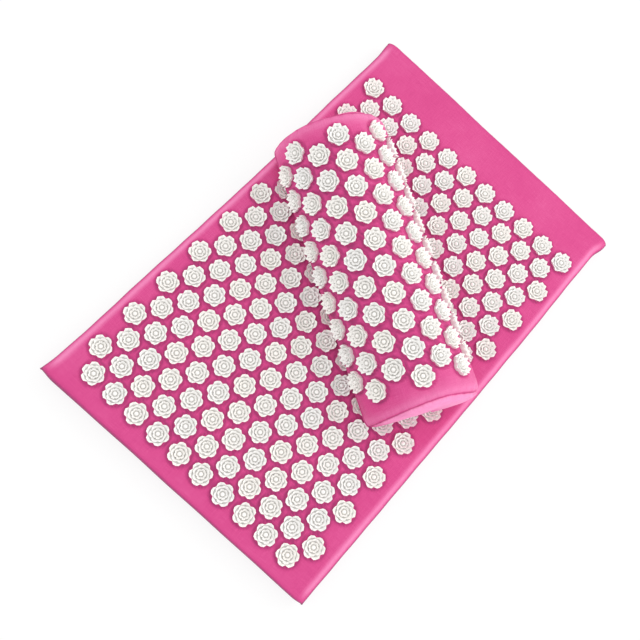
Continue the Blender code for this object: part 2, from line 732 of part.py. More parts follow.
def make_stops(name, chain, metal, place):
    """A stop clamped on each tape's edge past the closed slider, and one box over both at the start."""
    wall = TAPE_THICKNESS / 2 + CLEARANCE
    out = wall + STOP_WALL
    near = CORD_EDGE
    edge = near + CORD_WIDTH / 2 - CLEARANCE
    far = near + CORD_WIDTH + STOP_WALL
    front = rest_place(chain) + SLIDER_LENGTH / 2 + CLEARANCE
    for label, side in (("upper", 1), ("lower", -1)):
        clamp = [(-out, near), (out, near), (out, far), (wall, far), (wall, edge)]
        clamp += [(-wall, edge), (-wall, far), (-out, far)]
        profile = [(y, side * z) for y, z in clamp]
        prism(f"{name}_{label}_top_stop", profile, front, front + STOP_LENGTH, metal, place)
    box = [(out, far), (wall, far), (wall, edge), (-wall, edge), (-wall, far), (-out, far)]
    box += [(y, -z) for y, z in reversed(box)]
    end = -chain / 2 - CLEARANCE
    prism(f"{name}_bottom_stop", box, end - STOP_LENGTH, end, metal, place)


def make_zip(name, chain, skins, place):
    make_tape(f"{name}_upper_tape", 1, chain, skins["tape"], skins["plastic"], place)
    make_tape(f"{name}_lower_tape", -1, chain, skins["tape"], skins["plastic"], place)
    make_stops(name, chain, skins["nickel"], place)
    slider = make_slider(f"{name}_slider", chain, skins["nickel"], place)
    make_pull(f"{name}_pull", skins["nickel"], slider)


def main():
    clear_scene()
    skins = {
        "cotton": material("pink_cotton", PINK_COTTON, 0.85),
        "tape": material("deep_pink_tape", DEEP_PINK_COTTON, 0.8),
        "plastic": material("white_plastic", WHITE_PLASTIC, 0.4),
        "foam": material("foam", FOAM, 0.95),
        "nickel": material("nickel", NICKEL, 0.3, 1.0),
    }
    make_mat_top_panel(skins["cotton"], skins["plastic"])
    make_mat_back_panel(skins["cotton"])
    make_mat_foam(skins["foam"])
    mat_zip = empty("mat_zip_place", turn=-math.pi / 2)
    mat_zip.location = (MAT_LENGTH / 2 - TAPE_DEPTH, 0, MAT_SEAM_HEIGHT)
    make_zip("mat_zip", MAT_ZIP_CHAIN, skins, mat_zip)

    pillow = empty("pillow_place", location=(PILLOW_X, PILLOW_Y, PILLOW_Z), turn=PILLOW_ANGLE)
    make_pillow_top_panel(skins["cotton"], skins["plastic"], pillow)
    make_pillow_base(skins["cotton"], pillow)
    make_pillow_end("pillow_near_end_panel", -1, skins["cotton"], pillow)
    make_pillow_end("pillow_far_end_panel", 1, skins["cotton"], pillow)
    make_pillow_core(skins["foam"], pillow)
    pillow_zip = empty("pillow_zip_place", pillow, turn=math.pi)
    pillow_zip.location = (0, -WALL_Y + TAPE_DEPTH, PILLOW_SEAM_HEIGHT)
    make_zip("pillow_zip", PILLOW_ZIP_CHAIN, skins, pillow_zip)


main()
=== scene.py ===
"""Acupressure mat and half-moon pillow: cotton covers, moulded rosettes, foam and zips."""

import math

import bpy
import numpy as np
from mathutils import Matrix, Vector


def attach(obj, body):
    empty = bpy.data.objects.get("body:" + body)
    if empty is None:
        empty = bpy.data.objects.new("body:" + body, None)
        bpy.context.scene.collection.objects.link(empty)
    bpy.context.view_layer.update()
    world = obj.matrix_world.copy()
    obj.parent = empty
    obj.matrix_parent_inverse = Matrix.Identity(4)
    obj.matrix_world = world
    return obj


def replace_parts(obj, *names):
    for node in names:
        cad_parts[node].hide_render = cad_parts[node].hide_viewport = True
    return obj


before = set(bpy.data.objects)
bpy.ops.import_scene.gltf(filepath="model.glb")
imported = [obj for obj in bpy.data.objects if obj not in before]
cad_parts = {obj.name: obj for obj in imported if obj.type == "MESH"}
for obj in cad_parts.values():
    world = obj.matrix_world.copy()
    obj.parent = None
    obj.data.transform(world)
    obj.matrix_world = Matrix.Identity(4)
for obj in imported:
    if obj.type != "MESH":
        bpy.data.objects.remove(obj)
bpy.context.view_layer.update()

# View
# The photograph looks down on the mat from over its lower left end. Lens, place and axes were
# fitted to the grid of rosettes, which is the only measured thing in the picture.
view_place = (-0.2655, -0.0058, 0.9077)
view_right = (0.6692, -0.7275, 0.1518)
view_down = (-0.7032, -0.6859, -0.1871)
view_ahead = (0.2402, 0.0185, -0.9706)
lens_pixels = 700
picture_pixels = 640

camera = bpy.data.objects.new("camera", bpy.data.cameras.new("camera"))
bpy.context.scene.collection.objects.link(camera)
camera.data.sensor_width = 36
camera.data.lens = camera.data.sensor_width * lens_pixels / picture_pixels
camera.data.clip_start = 0.01
camera.data.clip_end = 50
view_axes = Matrix((view_right, -Vector(view_down), -Vector(view_ahead))).transposed()
camera.matrix_world = Matrix.Translation(view_place) @ view_axes.to_4x4()
bpy.context.scene.camera = camera


# Studio
# A white sweep in a white room: almost even light from all round, a wide softbox overhead, a
# faintly warm key from the right, and two low ones that put a sheen on the mat's long edges. The
# floor keeps part of the shadow.
class Socket:
    """One output of a node. Sums, products and comparisons of it add the Math nodes."""

    def __init__(self, nodes, output):
        self.nodes = nodes
        self.output = output

    def maths(self, operation, *others):
        return self.nodes.add("Math", {"operation": operation}, dict(enumerate((self, *others))))

    def clamped(self):
        return self.maths("MAXIMUM", 0.0).maths("MINIMUM", 1.0)

    def __add__(self, other):
        return self.maths("ADD", other)

    def __sub__(self, other):
        return self.maths("SUBTRACT", other)

    def __mul__(self, other):
        return self.maths("MULTIPLY", other)

    def __gt__(self, other):
        return self.maths("GREATER_THAN", other)

    def __abs__(self):
        return self.maths("ABSOLUTE")

    def __rsub__(self, other):
        return self * -1 + other

    __radd__ = __add__
    __rmul__ = __mul__


class Nodes:
    """A node tree. add() takes a node's type, its settings and the values or links of its sockets."""

    def __init__(self, tree):
        self.tree = tree

    def add(self, kind, settings=(), sockets=(), output=0):
        node = self.tree.nodes.new("ShaderNode" + kind)
        for name, value in dict(settings).items():
            setattr(node, name, value)
        for name, value in dict(sockets).items():
            self.feed(node.inputs[name], value)
        return Socket(self, node.outputs[output])

    def feed(self, socket, value):
        if isinstance(value, Socket):
            self.tree.links.new(value.output, socket)
        else:
            socket.default_value = value

    def mix(self, share, low, high):
        return self.add("Mix", {"data_type": "RGBA"}, {0: share, 6: low, 7: high}, output=2)

    def noise(self, place, scale, detail=2.0):
        return self.add("TexNoise", {}, {"Vector": place, "Scale": scale, "Detail": detail})

    def stretched(self, place, scale):
        return self.add("Mapping", {}, {"Vector": place, "Scale": scale})

    def seen(self):
        """1 for a ray that carries the picture: from the camera, a mirror or clear stuff."""
        names = ("Is Camera Ray", "Is Glossy Ray", "Is Transmission Ray")
        camera_ray, glossy, clear = (self.add("LightPath", output=name) for name in names)
        return (camera_ray + glossy + clear).maths("MINIMUM", 1.0)


class Finish(Nodes):
    """A material. Constants go straight on the shader's sockets, patterns come as links."""

    def __init__(self, name):
        self.material = bpy.data.materials.new(name)
        self.material.use_nodes = True
        super().__init__(self.material.node_tree)
        self.shader = self.tree.nodes["Principled BSDF"]

    def set(self, **sockets):
        for name, value in sockets.items():
            label = name.replace("_", " ").title().replace("Ior", "IOR")
            self.feed(self.shader.inputs[label], value)

    def bump(self, height, depth, strength=1.0):
        sockets = {"Height": height, "Distance": depth, "Strength": strength}
        self.feed(self.shader.inputs["Normal"], self.add("Bump", {}, sockets))


sweep = 6.0
floor_white = 0.97
floor_drop = 0.0003
shadow_kept = 0.20
sky_light = 0.90
softboxes = (
    # name, watts, size, colour, place
    ("overhead", 4.0, 2.4, (1.0, 1.0, 1.0), (-0.3, 0, 2.2)),
    ("key", 13.0, 1.4, (1.0, 0.97, 0.93), (1.5, -0.9, 1.2)),
    ("near_side", 7.0, 1.0, (1.0, 1.0, 1.0), (0, -2.2, 0.9)),
    ("far_side", 7.0, 1.0, (1.0, 1.0, 1.0), (-0.4, 2.2, 0.9)),
)

sweep_mesh = bpy.data.meshes.new("floor")
corners = np.array([(-1, -1, 0), (1, -1, 0), (1, 1, 0), (-1, 1, 0)]) * sweep
sweep_mesh.from_pydata((corners - (0, 0, floor_drop)).tolist(), [], [(0, 1, 2, 3)])
floor = bpy.data.objects.new("floor", sweep_mesh)
bpy.context.scene.collection.objects.link(floor)
white = Finish("white_sweep")
white.set(base_color=(floor_white, floor_white, floor_white, 1), roughness=0.9)
shown = white.add("Emission", {}, {"Color": (1, 1, 1, 1), "Strength": 1.0})
lit = Socket(white, white.shader.outputs[0])
mixed = white.add("MixShader", {}, {0: white.seen() * (1 - shadow_kept), 1: lit, 2: shown})
white.feed(white.tree.nodes["Material Output"].inputs["Surface"], mixed)
sweep_mesh.materials.append(white.material)

sky = bpy.data.worlds.new("white_room")
sky.use_nodes = True
bpy.context.scene.world = sky
room = Nodes(sky.node_tree)
strength = room.seen() * (1 - sky_light) + sky_light
room.feed(sky.node_tree.nodes["Background"].inputs["Strength"], strength)
sky.node_tree.nodes["Background"].inputs["Color"].default_value = (1, 1, 1, 1)

for name, watts, size, colour, place in softboxes:
    softbox = bpy.data.objects.new(name, bpy.data.lights.new(name, "AREA"))
    softbox.data.size = size
    softbox.data.energy = watts
    softbox.data.color = colour
    softbox.location = place
    softbox.rotation_euler = (-Vector(place)).to_track_quat("-Z", "Y").to_euler()
    bpy.context.scene.collection.objects.link(softbox)
bpy.context.scene.view_settings.view_transform = "Standard"

# Mat cover
# Plain-woven cotton dyed bright pink, sewn as a slip cover for the foam: a studded top panel and a
# plain back panel, joined at mid height in a turned seam. It sits a little askew, drawn in along
# its sides, and its corners stand out as ears.
mat_length = 0.653
mat_width = 0.420
mat_thickness = 0.025
cloth_thickness = 0.0008
long_edge_radius = 0.0150
short_edge_radius = 0.0045
seam_tuck = 0.0016
seam_lip = 0.0016
tuck_angle = math.radians(50)
cover_spacing = 0.0028
skew = 0.0058
skew_fade = 0.031
outline_of = {
    # along the mat, how far that side stands out from its true line
    1: ((-0.328, 0.0082), (-0.308, 0.0053), (-0.288, 0.0043), (-0.235, 0.0031), (-0.094, 0.0011),
        (0.0, -0.0009), (0.07, -0.0009), (0.188, 0.0019), (0.300, 0.0019), (0.320, 0.0050)),
    -1: ((-0.315, 0.0012), (0.05, 0.0010), (0.14, 0.0001), (0.235, -0.0017), (0.300, -0.0028),
         (0.316, 0.0024), (0.327, 0.0018)),
}
outline_blend = 0.006
ear_cut = 0.0022
bow = 0.0033
slip = 0.0032
bow_start = -0.04
bow_end = 0.20
rosette_radius = 0.0148
mat_column_gap = 0.0062
mat_nearest_gap = 0.0040
mat_first_row = 0.0367
mat_field_shift = 0.0046
mat_rows = 20
mat_most_columns = 11
mat_slot_length = 0.331
slot_half = 0.0040
slot_taper = 0.004
puff = 0.0009
puff_start = 0.012
puff_end = 0.021
loft_wave = 0.0004
loft_lengths = (0.11, 0.17, 0.26)
gather_height = 0.00022
gather_lengths = (0.0113, 0.0151, 0.0189)
gather_fade = 0.009
end_wave = 0.0005
side_wave = 0.0004
wave_lengths = (0.083, 0.047, 0.151)
wave_fade = 0.02
side_shift_fade = 0.05
ear_inside = 0.014
ear_outside = 0.008
ear_fade = 0.006
# Painted shade along the seams: how dark, and its width at the ends and at the sides.
seam_painted_shade = 0.9
end_seam_width = 0.0030
side_seam_width = 0.0022
# Painted highlight along the long edges: how light, its place in from the edge, its width, and where
# along the mat it fades in.
side_painted_highlight = 0.60
side_painted_highlight_place = 0.0072
side_painted_highlight_width = 0.0040
side_painted_highlight_span = (0.002, 0.024)
# Painted shadow ring round each rosette: how dark, its radius and its width.
halo_painted_shadow = 0.62
halo_radius = 0.0152
halo_width = 0.0018

mat_column_pitch = 2 * rosette_radius + mat_column_gap
mat_row_pitch = math.sqrt((2 * rosette_radius + mat_nearest_gap) ** 2 - (mat_column_pitch / 2) ** 2)


def skin(name, points, finish, cloth=None, marks=None, closed=False, caps=(), flip=False):
    """A sheet of quads over an array of points, rows by columns. With closed, each row runs round,
    and caps says which of the two end rows, 0 and -1, are filled with a face.

    cloth holds the flat cloth's own two coordinates at each point, in metres, for the weave, and
    marks the painted highlights and painted shade there: 1 where it is palest, -1 where it is deepest.
    """
    rows, columns = points.shape[:2]
    index = np.arange(rows * columns).reshape(rows, columns)
    if closed:
        index = np.concatenate([index, index[:, :1]], axis=1)
    quads = np.stack([index[:-1, :-1], index[1:, :-1], index[1:, 1:], index[:-1, 1:]], -1)
    faces = quads.reshape(-1, 4).tolist()
    faces += [index[row, :columns][:: 1 if row == 0 else -1].tolist() for row in caps]
    if flip:
        faces = [face[::-1] for face in faces]
    mesh = bpy.data.meshes.new(name)
    mesh.from_pydata(points.reshape(-1, 3).tolist(), [], faces)
    if cloth is not None:
        corner = np.empty(len(mesh.loops), np.int32)
        mesh.loops.foreach_get("vertex_index", corner)
        layer = mesh.uv_layers.new(name="cloth")
        layer.uv.foreach_set("vector", cloth.reshape(-1, 2)[corner].astype(np.float32).ravel())
        painted_light = mesh.attributes.new("painted_light", "FLOAT", "POINT")
        values = np.zeros(len(mesh.vertices)) if marks is None else marks.ravel()
        painted_light.data.foreach_set("value", values.astype(np.float32))
    return finished(name, mesh, finish)


def finished(name, mesh, finish):
    """The object of a mesh, smooth and with its finish."""
    mesh.shade_smooth()
    mesh.materials.append(finish.material)
    piece = bpy.data.objects.new(name, mesh)
    bpy.context.scene.collection.objects.link(piece)
    return piece


def walled(piece, thickness, offset=-1):
    """A thin sheet gets its thickness, inwards unless offset says otherwise."""
    wall = piece.modifiers.new("wall", "SOLIDIFY")
    wall.thickness = thickness
    wall.offset = offset
    return piece


def stations(half, radius, spacing):
    """Places across a padded panel, from seam to seam, with how far each is up from the seam.

    The first ones climb an ellipse round the edge, place = half - radius (1 - cos a) with
    a share sin a of the way up, after a short tuck back into the seam, and the rest are even.
    Returns the places, the shares and the length of cloth passed.
    """
    height = mat_thickness / 2
    turn = np.concatenate([np.linspace(-tuck_angle, 0, 4)[:-1], np.linspace(0, math.pi / 2, 14)])
    tuck_radius = seam_tuck / (1 - math.cos(tuck_angle))
    inset = np.where(turn < 0, tuck_radius, radius) * (1 - np.cos(turn))
    rise = np.where(turn < 0, seam_lip / math.sin(tuck_angle), height - seam_lip) * np.sin(turn)
    share = (rise + seam_lip) / height
    middle = np.linspace(-half + radius, half - radius, int(2 * half / spacing))[1:-1]
    place = np.concatenate([-half + inset, middle, (half - inset)[::-1]])
    share = np.concatenate([share, np.ones(len(middle)), share[::-1]])
    step = np.hypot(np.diff(place), np.diff(share) * height)
    return place, share, np.concatenate([[0.0], np.cumsum(step)])


def askew(x, y):
    """How far the cover is slewed at its near end: in proportion to y, fading along the mat."""
    from_end = np.maximum(x + mat_length / 2, 0)
    return x - skew * (y - mat_field_shift) / (mat_width / 2) * np.exp(-from_end / skew_fade)


def drawn_side(x, side):
    """How far a long side stands out at x: its outline, averaged over a short length to round it."""
    along, out = np.array(outline_of[side]).T
    shifts = np.linspace(-outline_blend, outline_blend, 5)
    return np.mean([np.interp(x + shift, along, out) for shift in shifts], axis=0)


def mat_seats():
    """Middles of the mat's rosettes, staggered: even rows hold one fewer, half a pitch over. Past
    the pillow the rows bow towards the near end, by 1 - y squared, and slip to one side."""
    spots = []
    for row in range(mat_rows):
        columns = mat_most_columns - 1 + row % 2
        x = -mat_length / 2 + mat_first_row + row * mat_row_pitch
        y = (np.arange(columns) - (columns - 1) / 2) * mat_column_pitch + mat_field_shift
        spots.append(np.column_stack([np.full(columns, x), y]))
    x, y = np.concatenate(spots).T
    beyond = smooth_step(x, bow_start, bow_end)
    across = (y - mat_field_shift) / (mat_width / 2)
    return np.column_stack([askew(x, y) - bow * beyond * (1 - across**2), y - slip * beyond])


def nearest(points, spots):
    """Distance of each point to the nearest spot, over the first two coordinates."""
    offset = points[..., None, :2] - spots
    return np.sqrt((offset**2).sum(-1)).min(-1)


def smooth_step(value, low, high):
    """0 below low and 1 above high, with an even bend between: 3 t squared - 2 t cubed."""
    share = np.clip((value - low) / (high - low), 0, 1)
    return share * share * (3 - 2 * share)


def ripple(first, second, lengths, seed):
    """Uneven waves: a mean of sines, each with its own length and direction."""
    total = 0.0
    for count, length in enumerate(lengths):
        heading = seed + 2.4 * count
        along = first * math.cos(heading) + second * math.sin(heading)
        total = total + np.sin(math.tau * along / length + 1.7 * seed * (count + 1))
    return total / len(lengths)


def band(distance, middle, width):
    """1 at the middle distance and 0 well away from it: e to the minus square."""
    return np.exp(-(((distance - middle) / width) ** 2))


def cotton(name, deep, dyed, pale, thread=0.0007):
    """Plain weave: each thread is a sine arch, and warp and weft lie on top by turns.

    The dye is uneven in patches and from thread to thread. Painted light comes on top: paler for
    painted highlights, deeper for painted shade, and darker in the gaps between threads as shade.
    """
    finish = Finish(name)
    cloth = finish.add("UVMap", {"uv_map": "cloth"})
    across = finish.add("SeparateXYZ", {}, {0: cloth}, output="X")
    along = finish.add("SeparateXYZ", {}, {0: cloth}, output="Y")
    warp = (across * (math.pi / thread)).maths("SINE")
    weft = (along * (math.pi / thread)).maths("SINE")
    over = warp * weft > 0.0
    height = abs(warp) * over + abs(weft) * (1 - over)
    slubs = finish.noise(finish.stretched(cloth, (1 / thread, 0.04 / thread, 1)), 1.0)
    picks = finish.noise(finish.stretched(cloth, (0.04 / thread, 1 / thread, 1)), 1.0)
    patches = finish.noise(cloth, 14.0, 3.0)
    nap = finish.noise(cloth, 900.0, 3.0)
    # The marks read here are painted highlights and shade, and the weave height term paints shade into
    # the gaps between threads; patches, slubs and picks are the dye's own unevenness.
    painted_light = finish.add("Attribute", {"attribute_name": "painted_light"}, output="Fac")
    light = (patches - 0.5) * 0.34 + (slubs + picks - 1.0) * 0.3 + (height - 0.6) * 0.24
    tone = painted_light + light + (nap - 0.5) * 0.2
    colour = finish.mix(tone.clamped(), (*dyed, 1), (*pale, 1))
    colour = finish.mix((tone * -1).clamped(), colour, (*deep, 1))
    finish.set(base_color=colour, roughness=0.74 + nap * 0.2)
    finish.set(sheen_weight=0.20, sheen_roughness=0.35, sheen_tint=(1.0, 0.72, 0.86, 1))
    finish.set(specular_ior_level=0.25)
    finish.bump(height * 0.7 + nap * 0.5 + (slubs + picks) * 0.3, thread * 0.3, 0.6)
    return finish


def mat_panel(name, finish, top):
    """One panel of the mat's cover: the two ways across multiply, so that it falls to the seam
    on all four sides. Its sides follow the outline, and the cloth puffs between the rosettes.
    Waves and gathers fade away from the seams as e to the minus distance."""
    place_x, share_x, run_x = stations(mat_length / 2, short_edge_radius, cover_spacing)
    place_y, share_y, run_y = stations(mat_width / 2, long_edge_radius, cover_spacing)
    x, y = np.meshgrid(place_x, place_y, indexing="ij")
    share = share_x[:, None] * share_y[None, :]
    from_x = mat_length / 2 - np.abs(x)
    from_y = mat_width / 2 - np.abs(y)
    out = np.where(y > 0, drawn_side(x, 1), drawn_side(x, -1))
    near_side = smooth_step(-from_y, -side_shift_fade, 0)
    wave = ripple(x, y, wave_lengths, 1.0)
    flat_x, flat_y = x, y
    x = askew(x, y) + np.sign(x) * end_wave * wave * np.exp(-from_x / wave_fade)
    y = y + np.sign(y) * (out * near_side + side_wave * wave * np.exp(-from_y / wave_fade))
    in_ear = smooth_step(np.abs(y), mat_width / 2 - ear_inside, mat_width / 2 + ear_outside)
    in_ear = in_ear * np.exp(-from_x / ear_fade)
    x = x + (x < 0) * ear_cut * in_ear
    within = mat_slot_length / 2 - np.abs(flat_y)
    slot = smooth_step(within, -slot_taper, slot_taper / 2) * slot_half
    slot = slot * (flat_x > 0) * np.exp(-from_x / slot_taper)
    height = mat_thickness / 2
    z = slot + (height - slot) * share
    # Painted shade along the edges, where the cloth turns under to the seam.
    seam = band(from_x, 0, end_seam_width) + band(from_y, 0, side_seam_width)
    # Painted highlight: a light strip just in from each long edge, fading in from the ends.
    painted_light = band(from_y, side_painted_highlight_place, side_painted_highlight_width)
    marks = side_painted_highlight * painted_light * smooth_step(from_x, *side_painted_highlight_span)
    marks = marks - seam_painted_shade * np.minimum(seam, 1)
    if top:
        gathers = ripple(flat_x, flat_y, gather_lengths, 2.3)
        apart = nearest(np.stack([x, y], -1), mat_seats())
        loft = puff * smooth_step(apart, puff_start, puff_end)
        loft = loft + loft_wave * ripple(flat_x, flat_y, loft_lengths, 0.6)
        near_seam_share = np.exp(-from_x / gather_fade) + np.exp(-from_y / gather_fade)
        z = z + (loft + gather_height * gathers * near_seam_share) * smooth_step(share, 0.5, 1.0)
        # Painted shadow: a dark ring round each rosette, where it stands on the cloth.
        marks = marks - halo_painted_shadow * band(apart, halo_radius, halo_width)
    z = height + z if top else height - z
    cloth = np.stack(np.meshgrid(run_x, run_y, indexing="ij"), -1)
    points = np.stack([x, y, z], -1)
    return walled(skin(name, points, finish, cloth, marks, flip=not top), cloth_thickness)


cotton_colours = (0.235, 0.032, 0.116), (0.675, 0.067, 0.258), (0.96, 0.33, 0.60)
pink_cotton = cotton("pink_cotton", *cotton_colours)
mat_top = mat_panel("mat_cover_top", pink_cotton, True)
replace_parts(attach(mat_top, "mat"), "mat_top_panel")
mat_back = mat_panel("mat_cover_back", pink_cotton, False)
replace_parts(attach(mat_back, "mat"), "mat_back_panel")

# Mat foam
# One slab of open-cell foam, cut with rounded edges and slid into the cover through the zip.
foam_gap = 0.0018
foam_edge = 0.0150
zip_depth = 0.0050


def foam_finish():
    """Open cells about half a millimetre wide: pits from a cell pattern, darker down in them as
    painted shade and paler on their rims.
    """
    finish = Finish("open_cell_foam")
    place = finish.add("TexCoord", output="Object")
    cells = finish.add("TexVoronoi", {}, {"Vector": place, "Scale": 1800.0})
    patches = finish.noise(place, 40.0)
    colour = finish.mix(cells, (0.90, 0.88, 0.78, 1), (0.66, 0.60, 0.45, 1))
    finish.set(base_color=finish.mix(patches * 0.3, colour, (0.80, 0.72, 0.50, 1)), roughness=0.95)
    finish.bump(1 - cells, 0.0003)
    return finish


def slab(name, low, high, radius, finish):
    """A block with rounded edges: loops of one outline, |x|^n + |y|^n = 1 with a high n, that
    grow and shrink round a half circle of heights from the bottom to the top."""
    turn = np.linspace(0, math.tau, 96, endpoint=False)
    power = 0.12
    across = np.sign(np.cos(turn)) * np.abs(np.cos(turn)) ** power
    along = np.sign(np.sin(turn)) * np.abs(np.sin(turn)) ** power
    half = (np.array(high) - np.array(low)) / 2
    middle = (np.array(high) + np.array(low)) / 2
    bend = np.linspace(-math.pi / 2, math.pi / 2, 13)
    inset = radius * (1 - np.cos(bend))
    height = np.sin(bend) * half[2]
    close = half[1] * 0.999
    inset = np.concatenate([[close], inset, [close]])
    height = np.concatenate([[-half[2]], height, [half[2]]])
    x = middle[0] + (half[0] - inset)[:, None] * across
    y = middle[1] + (half[1] - inset)[:, None] * along
    z = middle[2] + height[:, None] + 0 * across
    return skin(name, np.stack([x, y, z], -1), finish, closed=True, caps=(0, -1), flip=True)


foam = foam_finish()
low = (-mat_length / 2 + skew + foam_gap, -mat_width / 2 + 2 * foam_gap, foam_gap)
high = (mat_length / 2 - zip_depth, mat_width / 2 - 2 * foam_gap, mat_thickness - foam_gap)
mat_foam = slab("mat_foam", low, high, foam_edge, foam)
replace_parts(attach(mat_foam, "mat"), "mat_foam_core")

# Mat rosettes
# Moulded in ivory-white plastic and bonded to the cloth: three nested rings of petals that end in
# points, round a centre point. Each sits at its own turn, pressed a little into the cotton.
turn_step = math.radians(137.5)
lobes = 6
petal_samples = 24
rosette_height = 0.0052
rosette_sink = 0.0018
petal_power = 0.7
notch_points = 0.6
tint_step = 0.618034
sharp_edge = math.radians(50)
rosette_rings = (
    # radius at a petal, radius between, height at a point, height between, turned, how lit: 1 bright,
    # lower for painted shade
    (0.0134, 0.0114, 0.0000, 0.0000, 0, 0.60),
    (0.0148, 0.0121, 0.0058, 0.0020, 0, 1.00),
    (0.0122, 0.0109, 0.0036, 0.0022, 0, 0.95),
    (0.0107, 0.0107, 0.0013, 0.0017, 0, 0.20),
    (0.0108, 0.0087, 0.0050, 0.0026, 1, 1.00),
    (0.0084, 0.0073, 0.0034, 0.0023, 1, 0.90),
    (0.0068, 0.0070, 0.0013, 0.0016, 1, 0.00),
    (0.0066, 0.0050, 0.0050, 0.0027, 0, 1.00),
    (0.0046, 0.0039, 0.0034, 0.0023, 0, 0.85),
    (0.0033, 0.0031, 0.0014, 0.0014, 0, 0.05),
    (0.0021, 0.0021, 0.0034, 0.0034, 0, 0.90),
)


def rosette_shape():
    """Rings round the rosette: the radius goes from petal to notch with |cos 3a| to the power 0.7,
    and the height has two points on each petal, with cos 12a. Every other ring of petals is turned
    by half a petal. Returns points, how lit each is for the painted shade, quads, the last fan and
    the foot."""
    turn = np.linspace(0, math.tau, petal_samples, endpoint=False)
    rings = np.array(rosette_rings)
    turned = turn + rings[:, 4, None] * math.pi / lobes
    petal = np.abs(np.cos(lobes / 2 * turned)) ** petal_power
    point = (1 - np.cos(2 * lobes * turned)) / 2 * (notch_points + (1 - notch_points) * petal)
    radius = rings[:, 1, None] + (rings[:, 0] - rings[:, 1])[:, None] * petal
    height = rings[:, 3, None] + (rings[:, 2] - rings[:, 3])[:, None] * point
    height[0] = -rosette_sink
    points = np.stack([radius * np.cos(turn), radius * np.sin(turn), height], -1).reshape(-1, 3)
    points = np.concatenate([points, [(0, 0, rosette_height)]])
    painted_lit_share = np.append(np.repeat(rings[:, 5], petal_samples), 1.0)
    index = np.arange(len(rings) * petal_samples).reshape(len(rings), petal_samples)
    after = np.roll(index, -1, axis=1)
    quads = np.stack([index[:-1], after[:-1], after[1:], index[1:]], -1).reshape(-1, 4)
    fan = np.stack([index[-1], after[-1], np.full(petal_samples, len(points) - 1)], -1)
    return points, painted_lit_share, quads, fan, index[0][::-1]


def rosette_field(name, middles, axes, finish):
    """All rosettes of one panel in one mesh. axes holds the three directions of each seat."""
    points, painted_lit_share, quads, fan, foot = rosette_shape()
    count = np.arange(len(middles))
    turn = (count * turn_step) % (math.tau / lobes)
    turned = np.stack([
        np.cos(turn)[:, None] * points[:, 0] - np.sin(turn)[:, None] * points[:, 1],
        np.sin(turn)[:, None] * points[:, 0] + np.cos(turn)[:, None] * points[:, 1],
        np.ones(len(count))[:, None] * points[:, 2],
    ], -1)
    placed = middles[:, None, :] + np.einsum("nkj,nji->nki", turned, axes)
    offset = (count * len(points))[:, None, None]
    faces = (quads + offset).reshape(-1, 4).tolist()
    faces += (fan + offset).reshape(-1, 3).tolist()
    faces += (foot + offset[:, 0]).tolist()
    mesh = bpy.data.meshes.new(name)
    mesh.from_pydata(placed.reshape(-1, 3).tolist(), [], faces)
    for label, values in (
        ("tint", np.repeat((count * tint_step) % 1.0, len(points))),
        ("painted_lit_share", np.tile(painted_lit_share, len(count))),
    ):
        layer = mesh.attributes.new(label, "FLOAT", "POINT")
        layer.data.foreach_set("value", values.astype(np.float32))
    piece = finished(name, mesh, finish)
    mesh.set_sharp_from_angle(angle=sharp_edge)
    return piece


def moulded_plastic():
    """Ivory-white plastic: a tint that differs a little from one moulding to the next, painted shade
    that greys it down in the valleys, faint flow clouds, and a soft gloss broken by fine moulding
    grain."""
    finish = Finish("white_plastic")
    place = finish.add("TexCoord", output="Object")
    tint = finish.add("Attribute", {"attribute_name": "tint"}, output="Fac")
    painted_lit_share = finish.add("Attribute", {"attribute_name": "painted_lit_share"}, output="Fac")
    clouds = finish.noise(place, 160.0)
    grain = finish.noise(place, 2600.0)
    tops = finish.mix(tint, (0.99, 0.96, 0.92, 1), (0.96, 0.95, 0.94, 1))
    tops = finish.mix(clouds * 0.3, tops, (0.92, 0.90, 0.86, 1))
    # Painted shade: the valleys get a grey colour where the rings are marked as less lit.
    finish.set(base_color=finish.mix(painted_lit_share, (0.54, 0.53, 0.50, 1), tops))
    finish.set(roughness=0.30 + clouds * 0.16, ior=1.5)
    finish.bump(grain, 0.00004, 0.5)
    return finish


ivory = moulded_plastic()
spots = mat_seats()
middles = np.column_stack([spots, np.full(len(spots), mat_thickness)])
mat_rosettes = rosette_field("mat_rosettes", middles, np.tile(np.eye(3), (len(spots), 1, 1)), ivory)
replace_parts(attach(mat_rosettes, "mat"), "mat_top_panel")

# Pillow cover
# The same cotton over a half-moon of foam: a studded panel over crown and sides, a plain base, and
# two half-moon end panels that bulge. It lies across the mat on the rosettes' points. The studded
# panel and the ends are pressed outwards as simulated cloth, held where they are sewn or bonded.
pillow_half = 0.190
pillow_radius = 0.078
wall_angle = math.radians(80)
pillow_seam_height = 0.009
pillow_row_gap = 0.0055
pillow_nearest_gap = 0.0052
pillow_rows = 10
side_columns = 3
field_shift = 0.0062
field_slant = 0.022
field_turn = 0.0078
draw = 0.0030
draw_length = 0.011
near_seam = 0.1903
crown_pull = 0.0076
pull_turn = -0.002
pull_width = {-1: 0.075, 1: 0.120}
far_seam = 0.1917
far_slant = 0.0023
slant_width = 0.050
pull_fade = 0.022
near_reach = 0.1916
near_corner_reach = 0.0045
far_reach = 0.1932
base_corner = 0.0045
base_lip = 0.0015
base_spacing = 0.0040
end_lift = 0.0004
bulge_middle = 0.42
cloth_slack = 0.02
cloth_steps = 20
cloth_pressure = 4.0
cloth_most_move = 0.0030
bonded_radius = 0.0145
end_held = 0.0020
side_held = 0.0040
rim_held_share = 0.06
pillow_slot_length = 0.229
slot_fade = 0.006
pillow_spacing = 0.0029
crowd_along = 1.25
crowd_round = 0.95
pillow_puff = 0.0008
pillow_puff_start = 0.0125
puff_below = 0.6
puff_fade = 0.006
pillow_wave = 0.0004
pillow_wave_lengths = (0.09, 0.13, 0.21)
pillow_gather = 0.0005
